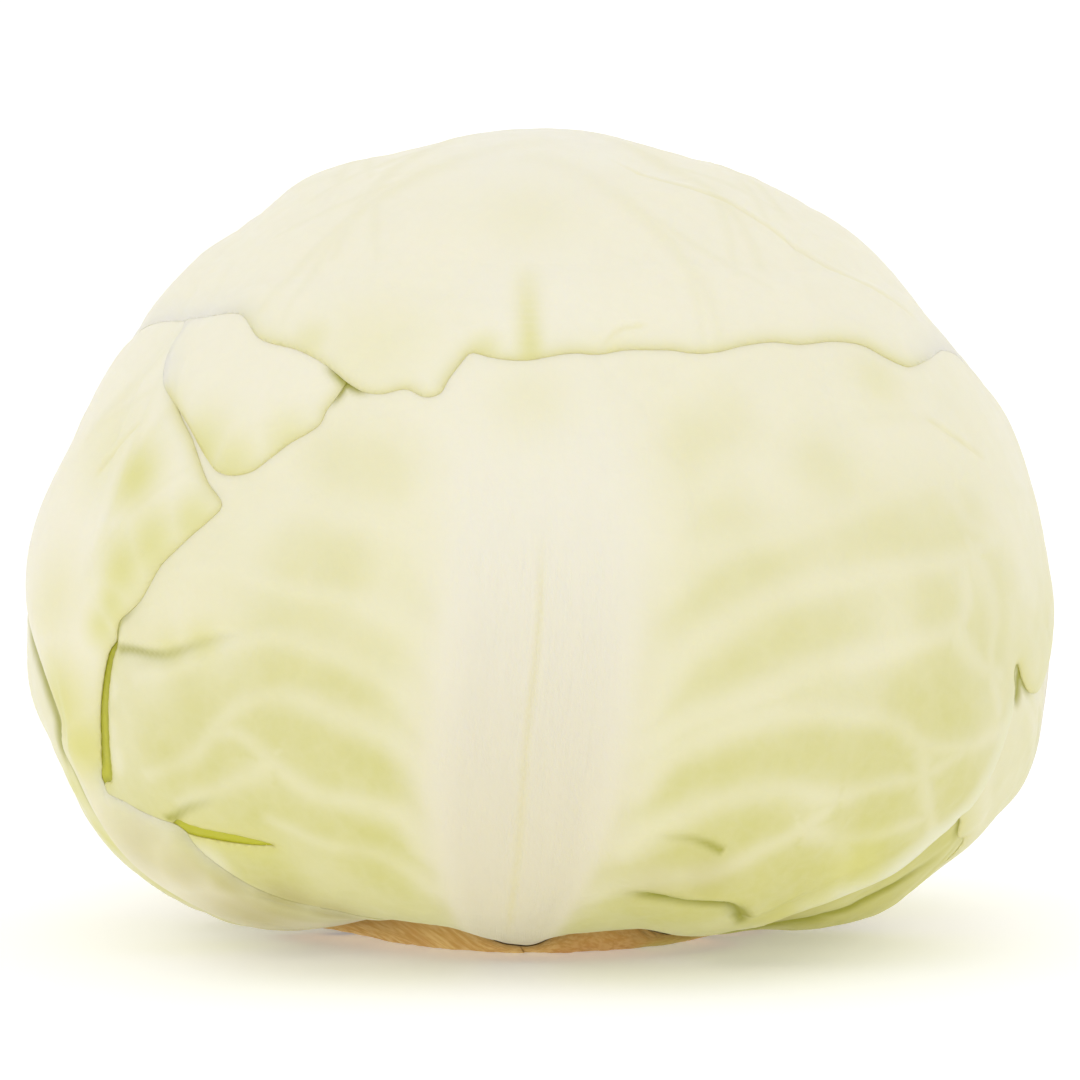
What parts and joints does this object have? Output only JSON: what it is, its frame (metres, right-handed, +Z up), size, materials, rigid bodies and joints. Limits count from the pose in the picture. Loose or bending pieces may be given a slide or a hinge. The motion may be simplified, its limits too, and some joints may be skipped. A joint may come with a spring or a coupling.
{
  "type": "white cabbage",
  "caption": "Whole white cabbage head, slightly flattened, standing on its cut stem: pale ribbed outer leaves overlap in shingles round a solid heart.",
  "frame": {"origin": "centre of the cut face of the stem, which is where the head stands", "axes": "+Z up through the head towards its crown, +X to the head's right as the broad front leaf is seen, -Y towards the viewer of that leaf"},
  "size_m": [0.1702, 0.1642, 0.1334],
  "materials": {
    "outer_leaf": "satin",
    "inner_leaf": "satin",
    "stem_flesh": "matte",
    "leaf_stub": "matte"
  },
  "bodies": {
    "root": {"cut_stem": "stem_flesh", "heart": "inner_leaf", "inner_left_leaf": "inner_leaf", "lower_right_leaf": "inner_leaf", "rear_left_leaf": "outer_leaf", "right_leaf": "outer_leaf", "rear_right_leaf": "outer_leaf", "front_leaf": "outer_leaf", "left_leaf": "outer_leaf", "shoulder_leaf": "outer_leaf", "crown_leaf": "outer_leaf", "leaf_stub_front_left": "leaf_stub", "leaf_stub_front_right": "leaf_stub", "leaf_stub_right": "leaf_stub", "leaf_stub_back_right": "leaf_stub", "leaf_stub_back": "leaf_stub", "leaf_stub_left": "leaf_stub"}
  },
  "joints": []
}
